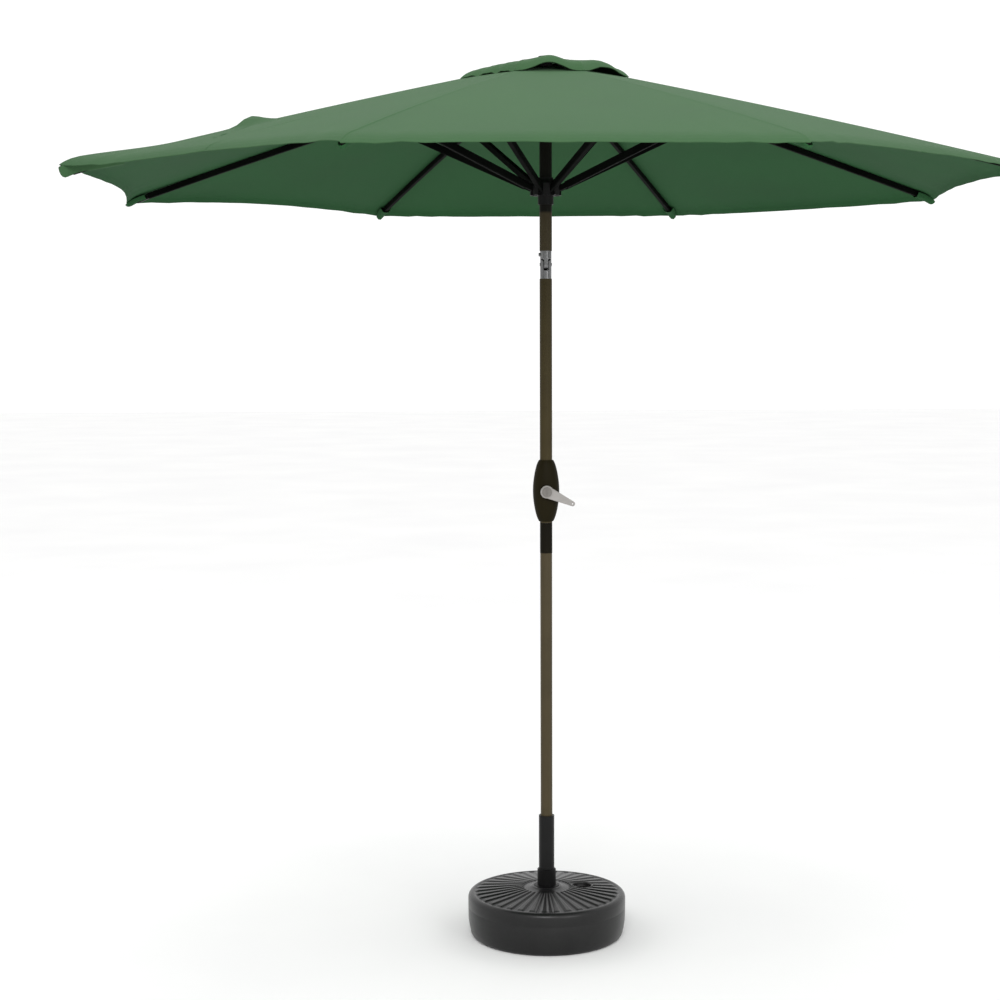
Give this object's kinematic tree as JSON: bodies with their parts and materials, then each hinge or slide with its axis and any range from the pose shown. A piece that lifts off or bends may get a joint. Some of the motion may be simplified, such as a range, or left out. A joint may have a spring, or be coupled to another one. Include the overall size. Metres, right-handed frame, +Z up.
{
  "type": "patio umbrella",
  "caption": "Crank-lift market umbrella with folding ribbed canopy, vented top, tilt knuckle, two-piece pole and round fillable base.",
  "frame": {"origin": "centre of the round base's underside, on the pole's axis", "axes": "+Z up the pole; the crank faces -Y; a gore of the canopy faces -Y, with a rib half a gore to either side"},
  "size_m": [2.4574, 2.4574, 2.503],
  "materials": {
    "base_plastic": "satin",
    "sand": "matte",
    "black_plastic": "satin",
    "stem_black": "satin",
    "pole_bronze": "satin",
    "joint_black": "satin",
    "bare_steel": "brushed",
    "housing_plastic": "satin",
    "white_nylon": "satin",
    "crank_grey": "satin",
    "knuckle_metal": "satin",
    "rib_black": "satin",
    "canopy_fabric": "woven"
  },
  "bodies": {
    "base": {"base_shell": "base_plastic", "sand_ballast": "sand", "base_stem": "stem_black", "stem_collar": "base_plastic"},
    "filler_plug": {"filler_plug": "black_plastic"},
    "lower_pole": {"lower_pole": "pole_bronze", "pole_foot_cap": "black_plastic", "pole_joint_sleeve": "joint_black"},
    "upper_pole": {"upper_pole": "pole_bronze", "pole_spigot": "bare_steel", "crank_housing_front": "housing_plastic", "crank_housing_back": "housing_plastic", "housing_screws": "bare_steel", "spool_bushings": "white_nylon", "tilt_fork": "knuckle_metal", "tilt_pin": "bare_steel"},
    "crank": {"cord_spool": "bare_steel", "crank_handle": "crank_grey", "crank_cap": "crank_grey"},
    "mast": {"tilt_tongue": "knuckle_metal", "button_spring": "bare_steel", "mast_tube": "pole_bronze", "crown_hub": "black_plastic", "crown_pins": "bare_steel", "crown_cap": "black_plastic"},
    "tilt_button": {"tilt_button": "knuckle_metal"},
    "pulley": {"cord_pulley": "white_nylon"},
    "runner": {"runner_hub": "black_plastic"},
    "rib_1": {"rib_1": "rib_black", "rib_fittings_1": "black_plastic", "canopy_gore_1": "canopy_fabric"},
    "strut_1": {"strut_1": "rib_black"},
    "rib_2": {"rib_2": "rib_black", "rib_fittings_2": "black_plastic", "canopy_gore_2": "canopy_fabric"},
    "strut_2": {"strut_2": "rib_black"},
    "rib_3": {"rib_3": "rib_black", "rib_fittings_3": "black_plastic", "canopy_gore_3": "canopy_fabric"},
    "strut_3": {"strut_3": "rib_black"},
    "rib_4": {"rib_4": "rib_black", "rib_fittings_4": "black_plastic", "canopy_gore_4": "canopy_fabric"},
    "strut_4": {"strut_4": "rib_black"},
    "rib_5": {"rib_5": "rib_black", "rib_fittings_5": "black_plastic", "canopy_gore_5": "canopy_fabric"},
    "strut_5": {"strut_5": "rib_black"},
    "rib_6": {"rib_6": "rib_black", "rib_fittings_6": "black_plastic", "canopy_gore_6": "canopy_fabric"},
    "strut_6": {"strut_6": "rib_black"},
    "rib_7": {"rib_7": "rib_black", "rib_fittings_7": "black_plastic", "canopy_gore_7": "canopy_fabric"},
    "strut_7": {"strut_7": "rib_black"},
    "rib_8": {"rib_8": "rib_black", "rib_fittings_8": "black_plastic", "canopy_gore_8": "canopy_fabric"},
    "strut_8": {"strut_8": "rib_black"}
  },
  "joints": [
    {"name": "plug_lift", "type": "slide", "parent": "base", "child": "filler_plug", "axis": [0, 0, 1], "range_m": [0, 0.045]},
    {"name": "pole_lift", "type": "slide", "parent": "base", "child": "lower_pole", "axis": [0, 0, 1], "range_m": [0, 0.25]},
    {"name": "pole_joint", "type": "slide", "parent": "lower_pole", "child": "upper_pole", "axis": [0, 0, 1], "range_m": [0, 0.08]},
    {"name": "canopy_tilt", "type": "hinge", "parent": "upper_pole", "child": "mast", "pos_m": [0, 0, 1.925], "axis": [-1, 0, 0], "range_deg": [-30, 0]},
    {"name": "button_press", "type": "slide", "parent": "mast", "child": "tilt_button", "axis": [-1, 0, 0], "range_m": [-0.004, 0], "stiffness_N_per_m": 600, "deforming": ["button_spring"]},
    {"name": "rib_1_fold", "type": "hinge", "parent": "mast", "child": "rib_1", "pos_m": [-0.0176, -0.0425, 2.465], "axis": [0.9239, -0.3827, 0], "range_deg": [0, 68.61], "deforming": ["canopy_gore_1"]},
    {"name": "rib_2_fold", "type": "hinge", "parent": "mast", "child": "rib_2", "pos_m": [0.0176, -0.0425, 2.465], "axis": [0.9239, 0.3827, 0], "range_deg": [0, 69.11], "deforming": ["canopy_gore_2"]},
    {"name": "rib_3_fold", "type": "hinge", "parent": "mast", "child": "rib_3", "pos_m": [0.0425, -0.0176, 2.465], "axis": [0.3827, 0.9239, 0], "range_deg": [0, 69.11], "deforming": ["canopy_gore_3"]},
    {"name": "rib_4_fold", "type": "hinge", "parent": "mast", "child": "rib_4", "pos_m": [0.0425, 0.0176, 2.465], "axis": [-0.3827, 0.9239, 0], "range_deg": [0, 69.11], "deforming": ["canopy_gore_4"]},
    {"name": "rib_5_fold", "type": "hinge", "parent": "mast", "child": "rib_5", "pos_m": [0.0176, 0.0425, 2.465], "axis": [-0.9239, 0.3827, 0], "range_deg": [0, 69.11], "deforming": ["canopy_gore_5"]},
    {"name": "rib_6_fold", "type": "hinge", "parent": "mast", "child": "rib_6", "pos_m": [-0.0176, 0.0425, 2.465], "axis": [-0.9239, -0.3827, 0], "range_deg": [0, 69.11], "deforming": ["canopy_gore_6"]},
    {"name": "rib_7_fold", "type": "hinge", "parent": "mast", "child": "rib_7", "pos_m": [-0.0425, 0.0176, 2.465], "axis": [-0.3827, -0.9239, 0], "range_deg": [0, 69.11], "deforming": ["canopy_gore_7"]},
    {"name": "rib_8_fold", "type": "hinge", "parent": "mast", "child": "rib_8", "pos_m": [-0.0425, -0.0176, 2.465], "axis": [0.3827, -0.9239, 0], "range_deg": [0, 69.11], "deforming": ["canopy_gore_8"]},
    {"name": "strut_1_swing", "type": "hinge", "parent": "rib_1", "child": "strut_1", "pos_m": [-0.19134, -0.46194, 2.34], "axis": [0.9239, -0.3827, 0], "range_deg": [-128.76, 0]},
    {"name": "strut_2_swing", "type": "hinge", "parent": "rib_2", "child": "strut_2", "pos_m": [0.19134, -0.46194, 2.34], "axis": [0.9239, 0.3827, 0], "range_deg": [-128.76, 0]},
    {"name": "strut_3_swing", "type": "hinge", "parent": "rib_3", "child": "strut_3", "pos_m": [0.46194, -0.19134, 2.34], "axis": [0.3827, 0.9239, 0], "range_deg": [-128.76, 0]},
    {"name": "strut_4_swing", "type": "hinge", "parent": "rib_4", "child": "strut_4", "pos_m": [0.46194, 0.19134, 2.34], "axis": [-0.3827, 0.9239, 0], "range_deg": [-128.76, 0]},
    {"name": "strut_5_swing", "type": "hinge", "parent": "rib_5", "child": "strut_5", "pos_m": [0.19134, 0.46194, 2.34], "axis": [-0.9239, 0.3827, 0], "range_deg": [-128.76, 0]},
    {"name": "strut_6_swing", "type": "hinge", "parent": "rib_6", "child": "strut_6", "pos_m": [-0.19134, 0.46194, 2.34], "axis": [-0.9239, -0.3827, 0], "range_deg": [-128.76, 0]},
    {"name": "strut_7_swing", "type": "hinge", "parent": "rib_7", "child": "strut_7", "pos_m": [-0.46194, 0.19134, 2.34], "axis": [-0.3827, -0.9239, 0], "range_deg": [-128.76, 0]},
    {"name": "strut_8_swing", "type": "hinge", "parent": "rib_8", "child": "strut_8", "pos_m": [-0.46194, -0.19134, 2.34], "axis": [0.3827, -0.9239, 0], "range_deg": [-128.76, 0]},
    {"name": "runner_slide", "type": "slide", "parent": "mast", "child": "runner", "axis": [0, 0, -1], "range_m": [0, 0.6445]},
    {"name": "crank_turn", "type": "hinge", "parent": "upper_pole", "child": "crank", "pos_m": [0, 0, 1.286], "axis": [0, 1, 0], "range_deg": [0, 3686.4]},
    {"name": "pulley_turn", "type": "hinge", "parent": "mast", "child": "pulley", "pos_m": [0, 0, 2.458], "axis": [1, 0, 0], "range_deg": [0, 3686.4]}
  ],
  "couplings": [
    {"joint": "rib_2_fold", "follows": "rib_1_fold", "ratio": 1},
    {"joint": "rib_3_fold", "follows": "rib_1_fold", "ratio": 1},
    {"joint": "rib_4_fold", "follows": "rib_1_fold", "ratio": 1},
    {"joint": "rib_5_fold", "follows": "rib_1_fold", "ratio": 1},
    {"joint": "rib_6_fold", "follows": "rib_1_fold", "ratio": 1},
    {"joint": "rib_7_fold", "follows": "rib_1_fold", "ratio": 1},
    {"joint": "rib_8_fold", "follows": "rib_1_fold", "ratio": 1},
    {"joint": "strut_1_swing", "follows": "rib_1_fold", "ratio": -1.8622},
    {"joint": "strut_2_swing", "follows": "rib_1_fold", "ratio": -1.8622},
    {"joint": "strut_3_swing", "follows": "rib_1_fold", "ratio": -1.8622},
    {"joint": "strut_4_swing", "follows": "rib_1_fold", "ratio": -1.8622},
    {"joint": "strut_5_swing", "follows": "rib_1_fold", "ratio": -1.8622},
    {"joint": "strut_6_swing", "follows": "rib_1_fold", "ratio": -1.8622},
    {"joint": "strut_7_swing", "follows": "rib_1_fold", "ratio": -1.8622},
    {"joint": "strut_8_swing", "follows": "rib_1_fold", "ratio": -1.8622},
    {"joint": "runner_slide", "follows": "rib_1_fold", "m_per_rad": 0.5366},
    {"joint": "crank_turn", "follows": "rib_1_fold", "ratio": 53.66},
    {"joint": "pulley_turn", "follows": "rib_1_fold", "ratio": 53.66}
  ]
}
